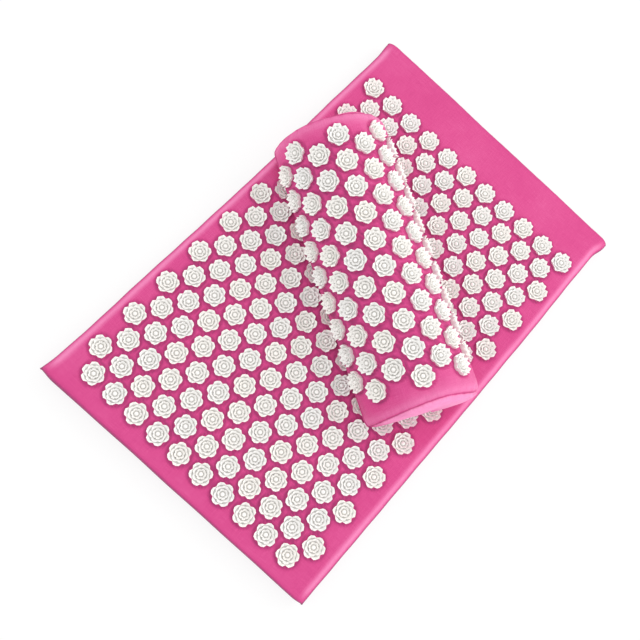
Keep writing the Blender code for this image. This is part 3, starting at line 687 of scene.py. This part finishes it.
pillow_gather_lengths = (0.0119, 0.0163, 0.0227)
pillow_gather_fade = 0.010
tuck_fade = 0.0010
end_swell_rate = 1.25
near_corner_span = (0.015, 0.055)
end_gather = 0.0004
end_gather_lengths = (0.0113, 0.0149)
end_gather_share = 0.12
end_crumple = 0.0006
end_crumple_lengths = (0.031, 0.047, 0.023)
end_tuck_share = 0.03
# Painted light in the studded panel's colour: a highlight where it turns over the ends, the bare cloth
# at the ends paler, a paler tone all over, one side lighter and the other darker, and painted shade
# along its seams.
turned_edge_painted_highlight = 0.26
turned_edge_place = 0.006
bare_band_painted_light = 0.12
bare_band_span = (-0.032, -0.012)
top_panel_paler = 0.05
side_painted_light = 0.10
side_painted_light_length = 0.05
sewn_end_width = 0.0012
sewn_side_width = 0.001
# Painted light in the end panels' colour: paler all over, the near end's upper part paler still, and
# painted shade at their rims.
end_painted_light = 0.30
near_end_painted_light = 0.60
near_end_light_span = (0.015, 0.050)
rim_painted_shade = 1.6
pillow_turn = Matrix.Rotation(math.radians(61.2), 4, "Z")
pillow_place = np.array(Matrix.Translation((0.0487, 0.0043, 0.0298)) @ pillow_turn)

pillow_row_pitch = 2 * rosette_radius + pillow_row_gap
pillow_column_pitch = math.sqrt(
    (2 * rosette_radius + pillow_nearest_gap) ** 2 - (pillow_row_pitch / 2) ** 2
)
wall_y = pillow_radius * math.sin(wall_angle)
wall_top = pillow_radius * math.cos(wall_angle)
arc_to_wall = pillow_radius * wall_angle
arc_to_seam = arc_to_wall + wall_top - pillow_seam_height
seat_radius = pillow_radius - 0.0001


def laid(points):
    """Points of the pillow, made with its own middle as origin, laid where it lies on the mat."""
    return points @ pillow_place[:3, :3].T + pillow_place[:3, 3]


def round_section(arc, radius):
    """(y, z) at a distance round from the crown: a circle, then the upright side, at that radius."""
    beyond = np.maximum(np.abs(arc) - arc_to_wall, 0)
    angle = np.clip(arc, -arc_to_wall, arc_to_wall) / pillow_radius
    return radius * np.sin(angle), radius * np.cos(angle) - beyond


def seam_place(arc, side):
    """How far out an end seam lies. The near one is pulled in over the crown, by cos squared of
    the way round, and the far one slants."""
    if side > 0:
        return far_seam + far_slant * np.clip(arc / slant_width, -1, 1)
    width = np.where(arc < pull_turn, pull_width[-1], pull_width[1])
    turned = np.clip((arc - pull_turn) / width, -1, 1) * math.pi / 2
    return near_seam - crown_pull * np.cos(turned) ** 2


def pillow_seats():
    """(along, round) of the pillow's rosettes: columns along it, staggered, a pitch apart, with
    rows that slant a little: along grows with the way round."""
    seats = []
    for column in range(-side_columns, side_columns + 1):
        rows = pillow_rows - abs(column) % 2
        arc = column * pillow_column_pitch + field_turn
        along = (np.arange(rows) - (rows - 1) / 2) * pillow_row_pitch + field_shift
        seats.append(np.column_stack([along + field_slant * arc, np.full(rows, arc)]))
    return np.concatenate(seats)


def cover_radius(x, arc):
    """How far the studded cloth stands from the middle: slow waves, pressed in by each rosette and
    puffed between. x has the end seams' pull in it. Returns that, and how far the rosettes are."""
    seats = pillow_seats()
    apart = np.hypot(x[..., None] - seats[:, 0], arc[..., None] - seats[:, 1]).min(-1)
    radius = pillow_radius + pillow_wave * ripple(x, arc, pillow_wave_lengths, 1.9)
    return radius + pillow_puff * (smooth_step(apart, pillow_puff_start, puff_end) - puff_below), apart


def drawn_in(x, y, z, share):
    """Towards each end the section shrinks to the end seam, down a quarter of an ellipse. share
    goes from 0 where that starts to 1 at the seam."""
    x, y, z, share = np.broadcast_arrays(x, y, z, share)
    shrink = 1 - (1 - np.sqrt(1 - share**2)) * draw / pillow_radius
    lift = z - pillow_seam_height
    z = pillow_seam_height + np.where(lift > 0, lift * shrink, lift)
    return np.stack([x, y * shrink, z], -1)


def simulated(piece, held):
    """The sheet as simulated cloth, cut a little large, pressed outwards for 20 steps and held where
    held is true. A move of length l is then brought to m tanh(l / m), with m the most it may be."""
    scene = bpy.context.scene
    sewn = piece.vertex_groups.new(name="sewn")
    sewn.add(np.flatnonzero(held.ravel()).tolist(), 1.0, "REPLACE")
    cloth = piece.modifiers.new("cloth", "CLOTH")
    cloth.settings.vertex_group_mass = sewn.name
    cloth.settings.quality = 6
    cloth.settings.shrink_min = -cloth_slack
    cloth.settings.use_pressure = True
    cloth.settings.uniform_pressure_force = cloth_pressure
    cloth.settings.effector_weights.gravity = 0
    cloth.collision_settings.use_collision = False
    cloth.point_cache.frame_start, cloth.point_cache.frame_end = 1, cloth_steps
    for step in range(1, cloth_steps + 1):
        scene.frame_set(step)
    shaped = piece.evaluated_get(bpy.context.evaluated_depsgraph_get()).data
    before, after = np.empty((2, 3 * len(shaped.vertices)))
    piece.data.vertices.foreach_get("co", before)
    shaped.vertices.foreach_get("co", after)
    move = (after - before).reshape(-1, 3)
    length = np.maximum(np.linalg.norm(move, axis=1)[:, None], 1e-9)  # never a division by 0
    piece.modifiers.remove(cloth)
    piece.vertex_groups.remove(sewn)
    scene.frame_set(1)
    move = move * np.tanh(length / cloth_most_move) * cloth_most_move / length
    piece.data.vertices.foreach_set("co", before + move.ravel())
    piece.data.update()
    return piece


def spread(half, spacing, crowd):
    """Places from -half to half, even but closer towards both ends, with sin(crowd t) in them."""
    share = np.linspace(-1, 1, int(2 * half / spacing))
    return half * np.sin(crowd * share) / math.sin(crowd)


def stretched_along(x, arc):
    """Moves places near each end to the seam there, fading out along the pillow."""
    for side in (-1, 1):
        from_end = pillow_half - side * x
        x = x + side * (seam_place(arc, side) - pillow_half) * np.exp(-from_end / pull_fade)
    return x


def pillow_top(name, finish):
    """The studded panel: pressed in by each rosette, puffed between, and tucked at its seams."""
    along = spread(pillow_half, pillow_spacing, crowd_along)
    arc = spread(arc_to_seam, pillow_spacing, crowd_round)
    x, s = np.meshgrid(along, arc, indexing="ij")
    end = pillow_half - np.abs(x)
    side = arc_to_seam - np.abs(s)
    into = np.clip(1 - end / draw_length, 0, 1)
    flat_x = x
    x = stretched_along(x, s)
    radius, apart = cover_radius(x, s)
    gathers = ripple(x, s, pillow_gather_lengths, 0.9)
    radius = radius + pillow_gather * gathers * np.exp(-end / pillow_gather_fade)
    tuck = seam_tuck * (np.exp(-end / tuck_fade) + np.exp(-side / tuck_fade))
    radius = radius - pillow_puff * np.exp(-end / puff_fade) - tuck
    y, z = round_section(s, radius)
    within = pillow_slot_length / 2 - np.abs(x)
    slot = (s < 0) * smooth_step(within, -slot_taper, slot_taper / 2)
    z = z + slot * slot_half * np.exp(-side / slot_fade)
    # Painted light: a highlight where the cloth turns over each end, painted shade along the seams,
    # the bare cloth at the ends paler where no rosettes shade it, a painted shadow ring round each
    # rosette, the whole panel a little paler, and the side towards the key light lighter, the other
    # darker.
    marks = turned_edge_painted_highlight * band(end, turned_edge_place, turned_edge_place)
    marks = marks - seam_painted_shade * band(end, 0, sewn_end_width) - seam_painted_shade * band(side, 0, sewn_side_width)
    marks = marks + bare_band_painted_light * smooth_step(-end, *bare_band_span)
    marks = marks - halo_painted_shadow * band(apart, halo_radius, halo_width)
    marks = marks + top_panel_paler - side_painted_light * np.tanh(s / side_painted_light_length)
    cloth = np.stack([flat_x, s], -1)
    points = laid(drawn_in(x, y, z, into))
    held = (apart < bonded_radius) | (end < end_held) | (side < side_held)
    return walled(simulated(skin(name, points, finish, cloth, marks), held), cloth_thickness)


def end_outline(samples):
    """The half-moon at an end seam, once round: over the crown, down the sides, along the base.
    Returns how far round from the crown each point is, and its (y, z)."""
    arc = np.linspace(-arc_to_seam, arc_to_seam, samples)
    y, z = round_section(arc, pillow_radius - seam_tuck)
    turn = np.linspace(0, math.pi / 2, 6)
    low_y = y[-1] - base_corner * (1 - np.cos(turn))
    low_z = base_corner * (1 - np.sin(turn)) + end_lift
    base = np.linspace(low_y[-1], -low_y[-1], samples // 2)[1:-1]
    y = np.concatenate([y, low_y, base, -low_y[::-1]])
    z = np.concatenate([z, low_z, np.full(len(base), low_z[-1]), low_z[::-1]])
    round_it = np.full(len(y), arc_to_seam)
    round_it[:samples] = arc
    return round_it, y, z


def end_panel(name, finish, side):
    """A half-moon end: its outline shrinks to the middle as (1 - t to the 4th) to the 0.4 while it
    swells outwards as sin of t, with a crease where it meets the studded panel."""
    arc, y, z = end_outline(90)
    rim = drawn_in(seam_place(arc, side), y, z, 1.0)
    y, z = rim[:, 1], rim[:, 2]
    share = np.append(np.sin(np.linspace(0, math.pi / 2, 24))[:-1], 0.9999)[:, None]
    scale = (1 - share**4) ** 0.4
    middle_z = pillow_radius * bulge_middle
    gathers = ripple(y, z, end_gather_lengths, 1.2)
    swell = np.sin(math.pi / 2 * np.minimum(share * end_swell_rate, 1))
    reach = far_reach
    if side < 0:
        reach = near_reach + near_corner_reach * smooth_step(-y, *near_corner_span)
    reach = reach + end_crumple * ripple(y * scale, z * scale, end_crumple_lengths, 0.4)
    at_rim = np.exp(-share / end_tuck_share)
    x = rim[:, 0] - seam_tuck * at_rim + (reach - rim[:, 0]) * swell
    x = x + end_gather * gathers * np.exp(-share / end_gather_share)
    rings = np.stack([side * x, y * scale, middle_z + (z - middle_z) * scale], -1)
    # Painted light: the end panels paler all over, the near one's upper part paler still where it
    # faces the key light, and painted shade in the crease at the rim.
    upper = smooth_step(rings[..., 2], *near_end_light_span)
    marks = end_painted_light + near_end_painted_light * (side < 0) * upper - rim_painted_shade * at_rim
    cloth = np.stack([rings[..., 1], rings[..., 2]], -1)
    panel = skin(name, laid(rings), finish, cloth, marks, closed=True, caps=(-1,), flip=side < 0)
    return simulated(panel, share + 0 * y < rim_held_share)


def pillow_base(name, finish):
    """The base: flat where it rests, turned up round its long edges to the side seams."""
    along = spread(pillow_half, base_spacing, crowd_along)
    turn = np.linspace(0, math.pi / 2, 8)
    side_y = wall_y - base_corner * (1 - np.cos(turn))
    side_z = base_corner * (1 - np.sin(turn))
    rise = np.array([pillow_seam_height, pillow_seam_height - base_lip])
    tucked = np.array([wall_y - seam_tuck, wall_y])
    flat = np.linspace(-wall_y + base_corner, wall_y - base_corner, 40)[1:-1]
    y = np.concatenate([-tucked, -side_y, flat, side_y[::-1], tucked[::-1]])
    z = np.concatenate([rise, side_z, np.zeros(len(flat)), side_z[::-1], rise[::-1]])
    run = np.concatenate([[0.0], np.cumsum(np.hypot(np.diff(y), np.diff(z)))])
    x, y = np.meshgrid(along, y, indexing="ij")
    z = np.broadcast_to(z, x.shape)
    into = np.clip(1 - (pillow_half - np.abs(x)) / draw_length, 0, 1)
    # Painted shade along the side seam.
    marks = -seam_painted_shade * band(z, pillow_seam_height, sewn_side_width)
    within = pillow_slot_length / 2 - np.abs(x)
    slot = smooth_step(within, -slot_taper, slot_taper / 2) * (y < 0)
    z = z - slot * slot_half * smooth_step(z, base_corner, pillow_seam_height)
    cloth = np.stack(np.meshgrid(along, run, indexing="ij"), -1)
    x = stretched_along(x, np.full(x.shape, arc_to_seam))
    points = laid(drawn_in(x, y, z, into))
    return walled(skin(name, points, finish, cloth, marks, flip=True), cloth_thickness)


pieces = [
    (pillow_top("pillow_cover_top", pink_cotton), "pillow_top_panel"),
    (pillow_base("pillow_cover_base", pink_cotton), "pillow_base_panel"),
    (end_panel("pillow_near_end", pink_cotton, -1), "pillow_near_end_panel"),
    (end_panel("pillow_far_end", pink_cotton, 1), "pillow_far_end_panel"),
]
for piece, node in pieces:
    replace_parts(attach(piece, "pillow"), node)

# Pillow rosettes
# The same mouldings, square to the curved cloth, so those on the sides show their points.
seats = pillow_seats()
angle = seats[:, 1] / pillow_radius
zero = np.zeros(len(seats))
out = np.stack([zero, np.sin(angle), np.cos(angle)], -1)
across = np.stack([zero, np.cos(angle), -np.sin(angle)], -1)
along = np.stack([zero + 1, zero, zero], -1)
middles = laid(np.column_stack([seats[:, 0], out[:, 1:] * seat_radius]))
axes = np.stack([along, across, out], 1) @ pillow_place[:3, :3].T
pillow_rosettes = rosette_field("pillow_rosettes", middles, axes, ivory)
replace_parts(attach(pillow_rosettes, "pillow"), "pillow_top_panel")

# Pillow foam
# A half-moon block of the same foam, set back behind the zip.
pillow_foam_gap = 0.0026
foam_half = 0.178
foam_reach = 0.190
foam_spacing = 0.012
foam_crowd = 1.15
foam_end_open = 1.0005


def half_moon_foam(name, finish):
    """Loops of the half-moon section carried along the pillow, closing at both ends down a bulge:
    each end loop is the section times sqrt(1 - t squared), pushed out as sin of t. A 1 that is a
    trace larger keeps the last loop open, for its cap."""
    _, y, z = end_outline(70)
    y = np.maximum(y * (1 - pillow_foam_gap / pillow_radius), -(wall_y - zip_depth))
    z = pillow_foam_gap + z * (1 - 2 * pillow_foam_gap / pillow_radius)
    along = spread(foam_half, foam_spacing, foam_crowd)
    body = np.stack(np.broadcast_arrays(along[:, None], y, z), -1)
    share = np.sin(np.linspace(0, math.pi / 2, 9))[1:, None]
    scale = np.sqrt(foam_end_open - share**2)
    middle_z = pillow_radius * bulge_middle
    ring_x = foam_half + (foam_reach - foam_half) * np.sin(math.pi / 2 * share) + 0 * y
    ring_y, ring_z = y * scale, middle_z + (z - middle_z) * scale
    near = np.stack([-ring_x, ring_y, ring_z], -1)[::-1]
    far = np.stack([ring_x, ring_y, ring_z], -1)
    points = np.concatenate([near, body, far])
    return skin(name, laid(points), finish, closed=True, caps=(0, -1), flip=True)


pillow_foam = half_moon_foam("pillow_foam", foam)
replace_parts(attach(pillow_foam, "pillow"), "pillow_core")

# Zips
# Each cover closes with a moulded-tooth zip let into its seam: two woven tapes whose edges carry
# the teeth, stitched to the cloth on both sides of the slot. Stops, slider and pull are nickel.
chain_of = {"mat": 0.300, "pillow": 0.198}
slot_room = 0.031
tape_tail = 0.007
tape_depth = 0.0014
tape_edge = 0.0012
tape_far_edge = 0.0058
tape_thickness = 0.0006
tape_spacing = 0.0025
tape_wave = 0.00008
tape_wave_rate = 210
stitch_length = 0.0030
stitch_width = 0.00026
stitch_lift = 0.00022
stitch_tip = 0.02
stitch_pitch = 0.0036
stitch_across = 0.0060
stitch_up = 0.0030
stitch_turn = math.radians(20)
tooth_pitch = 0.0030
tooth_power = 0.6
tooth_profile = (
    # place across, half width along, half thickness
    (0.00205, 0.00070, 0.00090),
    (0.00150, 0.00078, 0.00118),
    (0.00070, 0.00052, 0.00118),
    (0.00015, 0.00050, 0.00105),
    (-0.00035, 0.00074, 0.00100),
    (-0.00080, 0.00058, 0.00085),
)


def zip_frame(name):
    """Origin and axes of a zip: along it, across it (up) and out of the cover."""
    if name == "mat":
        origin = np.array([mat_length / 2 - tape_depth, 0, mat_thickness / 2])
        return origin, np.array([(0, -1, 0), (0, 0, 1), (1, 0, 0)])
    turn = pillow_place[:3, :3]
    origin = laid(np.array([0, -wall_y + tape_depth, pillow_seam_height]))
    return origin, np.array([-turn[:, 0], turn[:, 2], -turn[:, 1]])


def in_zip(name, along, across, out):
    """Points given along, across and out of a zip, put where that zip is."""
    origin, axes = zip_frame(name)
    along, across, out = np.broadcast_arrays(along, across, out)
    return origin + np.stack([along, across, out], -1) @ axes


def tape_piece(name, zip_name, side, finish):
    """A flat strip, a little wavy along its free edge: out = a sin(r along) times the way across."""
    far = chain_of[zip_name] / 2 + slot_room / 2 + tape_tail
    along = np.linspace(-far, far, int(far * 2 / tape_spacing))[:, None]
    across = np.linspace(tape_edge, tape_far_edge, 9)[None, :]
    share = (across - tape_edge) / (tape_far_edge - tape_edge)
    out = tape_wave * np.sin(along * tape_wave_rate) * share + 0 * across
    points = in_zip(zip_name, along, side * across, out)
    cloth = np.stack(np.broadcast_arrays(along, across), -1)
    return walled(skin(name, points, finish, cloth, flip=side < 0), tape_thickness, 0)


def repeated(name, rings, finish, flip):
    """One mesh of many small closed forms: rings holds each form's loops of points, count by
    loops by points by three, joined loop to loop and capped at both ends."""
    count, loops, around = rings.shape[:3]
    index = np.arange(loops * around).reshape(loops, around)
    after = np.roll(index, -1, axis=1)
    quads = np.stack([index[:-1], after[:-1], after[1:], index[1:]], -1).reshape(-1, 4)
    caps = np.stack([index[0][::-1], index[-1]])
    if flip:
        quads, caps = quads[:, ::-1], caps[:, ::-1]
    offset = (np.arange(count) * loops * around)[:, None, None]
    faces = (quads + offset).reshape(-1, 4).tolist() + (caps + offset).reshape(-1, around).tolist()
    mesh = bpy.data.meshes.new(name)
    mesh.from_pydata(rings.reshape(-1, 3).tolist(), [], faces)
    return finished(name, mesh, finish)


def teeth_piece(name, zip_name, side, finish):
    """A row of teeth: rounded loops carried across each tooth by tooth_profile."""
    chain = chain_of[zip_name]
    count = int(chain / tooth_pitch) - 1
    middle = -chain / 2 + tooth_pitch * (np.arange(count) + (0.5 if side > 0 else 1.0))
    turn = np.linspace(0, math.tau, 8, endpoint=False) + math.pi / 8
    place, wide, thick = np.array(tooth_profile).T[:, :, None]
    along = wide * np.sign(np.cos(turn)) * np.abs(np.cos(turn)) ** tooth_power
    along = middle[:, None, None] + along
    out = thick * np.sign(np.sin(turn)) * np.abs(np.sin(turn)) ** tooth_power
    rings = in_zip(zip_name, along, side * place, out)
    return repeated(name, rings, finish, side < 0)


def stitch_row(name, spots, heading, out, finish):
    """Lockstitches: each one a short bead that dips at both ends, height = r sin of the way along."""
    across = np.cross(out, heading)
    share = np.linspace(0, 1, 6)[:, None, None]
    turn = np.linspace(0, math.tau, 6, endpoint=False)[:, None]
    girth = stitch_width * np.sqrt(np.clip(1 - (2 * share - 1) ** 4, stitch_tip, 1))
    lift = stitch_lift * np.sin(math.pi * share)
    bead = (share - 0.5) * stitch_length * heading + girth * np.cos(turn) * across
    bead = bead + (lift + girth * np.sin(turn)) * out
    return repeated(name, spots[:, None, None, :] + bead, finish, False)


def stitch_line(zip_name, side):
    """Middles of the stitches beside a slot, in even steps along it on the cloth's own surface,
    and the way out of the cloth there. On the pillow's base they lie round the corner."""
    if zip_name == "mat":
        along = np.arange(-mat_slot_length / 2, mat_slot_length / 2, stitch_pitch)
        x = mat_length / 2 + end_wave * ripple(mat_length / 2, along, wave_lengths, 1.0)
        height = mat_thickness / 2 + side * stitch_across
        return np.column_stack([x, along, np.full(len(along), height)]), np.array([1.0, 0, 0])
    along = np.arange(-pillow_slot_length / 2, pillow_slot_length / 2, stitch_pitch)
    if side > 0:
        arc = np.full(len(along), stitch_up - arc_to_seam)
        y, z = round_section(arc, cover_radius(along, arc)[0])
        z = z + slot_half * math.exp(-stitch_up / slot_fade)
        turn = 0.0
    else:
        turn = stitch_turn
        y = np.full(len(along), -wall_y + base_corner * (1 - math.cos(turn)))
        z = np.full(len(along), base_corner * (1 - math.sin(turn)))
    out = np.array([0, -math.cos(turn), -math.sin(turn)]) @ pillow_place[:3, :3].T
    return laid(np.column_stack([along, y, z])), out


def tape_finish():
    """Herringbone tape: slanted ribs that change direction every few millimetres."""
    finish = Finish("deep_pink_tape")
    cloth = finish.add("UVMap", {"uv_map": "cloth"})
    along = finish.add("SeparateXYZ", {}, {0: cloth}, output="X")
    across = finish.add("SeparateXYZ", {}, {0: cloth}, output="Y")
    slant = (across * (1 / 0.0024)).maths("PINGPONG", 1.0)
    ribs = ((along + slant * 0.0012) * (math.tau / 0.0006)).maths("SINE") * 0.5 + 0.5
    nap = finish.noise(cloth, 2400.0)
    tone = (ribs * 0.6 + nap * 0.4).clamped()
    colour = finish.mix(tone, (0.40, 0.020, 0.12, 1), (0.66, 0.07, 0.24, 1))
    finish.set(base_color=colour, roughness=0.72 + nap * 0.2, sheen_weight=0.2)
    finish.bump(ribs + nap * 0.4, 0.00012, 0.7)
    return finish


def tooth_finish():
    """Dyed acetal: the same pink all through, with a satin moulding skin and rubbed tops."""
    finish = Finish("deep_pink_teeth")
    place = finish.add("TexCoord", output="Object")
    clouds = finish.noise(place, 300.0)
    rubs = finish.noise(place, 4000.0)
    colour = finish.mix(clouds, (0.50, 0.035, 0.16, 1), (0.62, 0.06, 0.22, 1))
    finish.set(base_color=colour, roughness=0.28 + clouds * 0.2 + rubs * 0.1)
    finish.bump(rubs, 0.00003, 0.4)
    return finish


def thread_finish():
    """Two-ply sewing thread, lighter on the turns of its plies."""
    finish = Finish("pink_thread")
    place = finish.add("TexCoord", output="Object")
    twist = finish.noise(place, 3800.0)
    colour = finish.mix(twist, (0.62, 0.045, 0.20, 1), (0.86, 0.16, 0.42, 1))
    finish.set(base_color=colour, roughness=0.6 + twist * 0.2, sheen_weight=0.3)
    finish.bump(twist, 0.00008, 0.8)
    return finish


def nickel_finish():
    """Bright nickel plate: fine scratches, handling marks, and a darker film in patches."""
    finish = Finish("nickel")
    place = finish.add("TexCoord", output="Object")
    scratches = finish.noise(finish.stretched(place, (6000, 900, 900)), 1.0)
    film = finish.noise(place, 220.0)
    colour = finish.mix(film, (0.74, 0.73, 0.70, 1), (0.60, 0.59, 0.56, 1))
    finish.set(base_color=colour, metallic=1.0, roughness=0.16 + film * 0.18 + scratches * 0.1)
    finish.bump(scratches, 0.00002, 0.5)
    return finish


tape_cloth = tape_finish()
acetal = tooth_finish()
thread = thread_finish()
nickel = nickel_finish()
for zip_name in ("mat", "pillow"):
    for half, side in (("upper", 1), ("lower", -1)):
        for piece in (
            tape_piece(f"{zip_name}_zip_{half}_woven_tape", zip_name, side, tape_cloth),
            teeth_piece(f"{zip_name}_zip_{half}_teeth", zip_name, side, acetal),
        ):
            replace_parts(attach(piece, zip_name), f"{zip_name}_zip_{half}_tape")
        spots, out = stitch_line(zip_name, side)
        heading = np.array([0, 1.0, 0]) if zip_name == "mat" else pillow_place[:3, 0]
        stitches = stitch_row(f"{zip_name}_zip_{half}_stitches", spots, heading, out, thread)
        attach(stitches, zip_name)
    for label in ("upper_top_stop", "lower_top_stop", "bottom_stop", "slider", "pull"):
        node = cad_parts[f"{zip_name}_zip_{label}"]
        node.data.materials.clear()
        node.data.materials.append(nickel.material)
